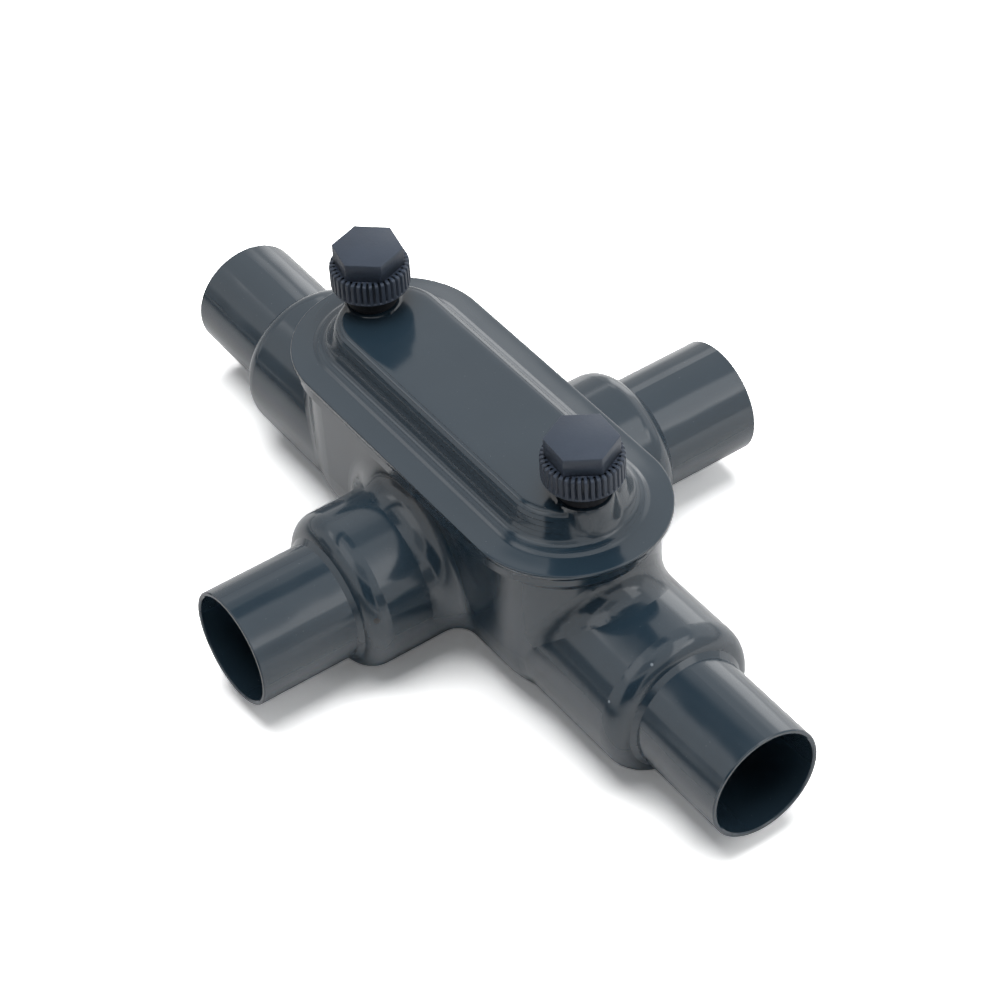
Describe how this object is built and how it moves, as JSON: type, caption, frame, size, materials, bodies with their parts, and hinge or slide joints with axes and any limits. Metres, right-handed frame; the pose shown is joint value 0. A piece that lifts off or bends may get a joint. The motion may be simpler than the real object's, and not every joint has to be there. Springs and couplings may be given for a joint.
{
  "type": "cross-pattern conduit body",
  "caption": "Plastic-coated iron conduit body with a threaded hub on each side, a pressed raised cover and sealed screws that hold the cover.",
  "frame": {"origin": "middle of the flat of the back, straight below the crossing of the hub axes", "axes": "+X along the long run and the cover, +Y along the short run, +Z out through the cover"},
  "size_m": [0.1874, 0.1244, 0.0671],
  "materials": {
    "jacket": "glossy slate blue-grey moulded coat",
    "casting": "as cast",
    "cover": "glossy slate blue-grey coat",
    "gasket": "matte",
    "screw": "bright",
    "cap": "satin dark slate",
    "bush": "satin black"
  },
  "bodies": {
    "conduit_body": {"body_casting": "casting", "pvc_jacket": "jacket", "cover_gasket": "gasket"},
    "cover_plate": {"cover": "cover"},
    "bush_right": {"seal_bush_right": "bush"},
    "screw_right": {"cover_screw_right": "screw", "screw_cap_right": "cap"},
    "bush_left": {"seal_bush_left": "bush"},
    "screw_left": {"cover_screw_left": "screw", "screw_cap_left": "cap"}
  },
  "joints": [
    {"name": "cover_lift", "type": "slide", "parent": "conduit_body", "child": "cover_plate", "axis": [0, 0, 1], "range_m": [0, 0.06]},
    {"name": "bush_rise_right", "type": "slide", "parent": "cover_plate", "child": "bush_right", "axis": [0, 0, 1], "range_m": [0, 0.0111]},
    {"name": "screw_turn_right", "type": "hinge", "parent": "bush_right", "child": "screw_right", "pos_m": [0.0372, 0, 0.06], "axis": [0, 0, 1], "range_deg": [0, 3744]},
    {"name": "bush_rise_left", "type": "slide", "parent": "cover_plate", "child": "bush_left", "axis": [0, 0, 1], "range_m": [0, 0.0111]},
    {"name": "screw_turn_left", "type": "hinge", "parent": "bush_left", "child": "screw_left", "pos_m": [-0.0372, 0, 0.06], "axis": [0, 0, 1], "range_deg": [0, 3744]}
  ],
  "couplings": [
    {"joint": "bush_rise_right", "follows": "screw_turn_right", "m_per_rad": 0.00016844},
    {"joint": "bush_rise_left", "follows": "screw_turn_left", "m_per_rad": 0.00016844}
  ]
}
